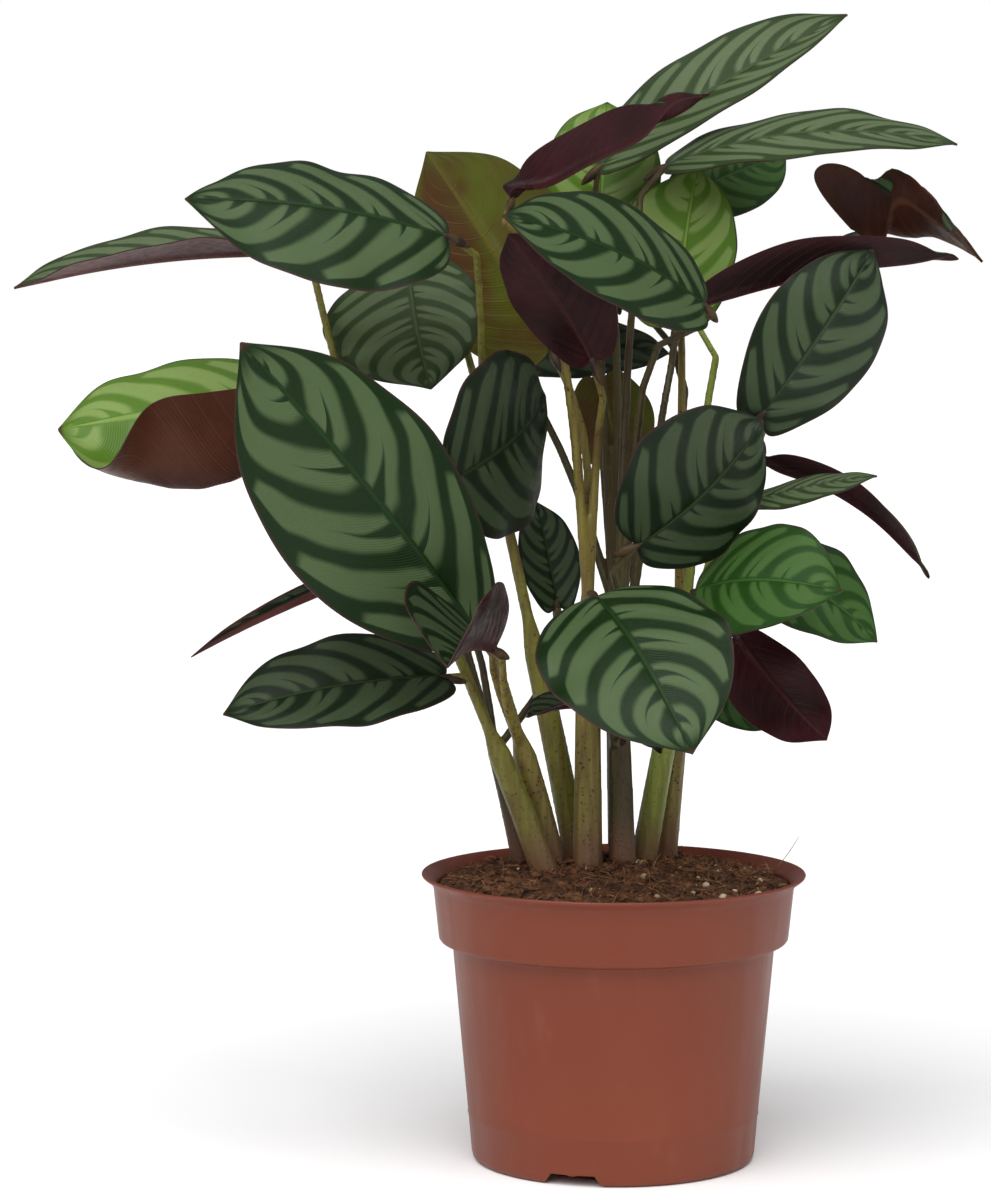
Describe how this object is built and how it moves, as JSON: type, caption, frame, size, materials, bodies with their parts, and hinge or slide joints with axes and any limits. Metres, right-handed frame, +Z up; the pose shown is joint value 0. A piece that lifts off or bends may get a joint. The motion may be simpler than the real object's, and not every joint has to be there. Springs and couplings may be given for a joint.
{
  "type": "potted ctenanthe plant",
  "caption": "Bushy tropical foliage plant with fishbone-striped oval leaves on thin upright stalks, rooted in a round tapered nursery pot.",
  "frame": {"origin": "on the pot's axis, at the surface the pot stands on", "axes": "+Z up along the pot's axis, -Y towards the side with the largest front leaves, +X to the right seen from there"},
  "size_m": [0.302, 0.213, 0.3573],
  "materials": {
    "pot_plastic": "satin moulded terracotta-coloured plastic",
    "soil": null,
    "stem": "fleshy olive-green leaf sheaths and stalks, brown-speckled; leather stands in for their density",
    "leaf_mature": null,
    "leaf_young": null
  },
  "bodies": {
    "root": {"nursery_pot": "pot_plastic", "potting_soil": "soil", "shoot_a": "stem", "shoot_b": "stem", "shoot_c": "stem", "shoot_d": "stem", "shoot_e": "stem", "shoot_f": "stem", "shoot_g": "stem", "shoot_h": "stem", "shoot_i": "stem", "leaf_far_left": "leaf_mature", "leaf_upper_left": "leaf_mature", "leaf_olive_back": "leaf_mature", "leaf_pale_crown": "leaf_young", "leaf_top_right": "leaf_mature", "leaf_top_wine": "leaf_mature", "leaf_right_grey": "leaf_mature", "leaf_behind_grey": "leaf_mature", "leaf_pale_middle": "leaf_young", "leaf_centre": "leaf_mature", "leaf_hanging_wine": "leaf_mature", "leaf_right_wine": "leaf_mature", "leaf_right_curled": "leaf_mature", "leaf_right_big": "leaf_mature", "leaf_mid_right": "leaf_mature", "leaf_mid_left": "leaf_mature", "leaf_big_front": "leaf_mature", "leaf_left_pale": "leaf_young", "leaf_narrow_left": "leaf_mature", "leaf_small_front": "leaf_mature", "leaf_low_left": "leaf_mature", "leaf_centre_front": "leaf_mature", "leaf_right_bright": "leaf_mature", "leaf_right_shaded": "leaf_mature", "leaf_right_narrow": "leaf_mature", "leaf_right_drooping": "leaf_mature", "leaf_low_wine": "leaf_mature", "leaf_low_green": "leaf_mature", "leaf_small_dark": "leaf_mature", "leaf_small_low": "leaf_mature", "leaf_hanging_grey": "leaf_mature", "leaf_dark_back": "leaf_mature", "leaf_olive_hanging": "leaf_mature", "leaf_inner_dark": "leaf_mature", "leaf_back_left": "leaf_mature", "leaf_back_right": "leaf_mature", "leaf_back_high": "leaf_mature", "leaf_back_low": "leaf_mature"}
  },
  "joints": []
}
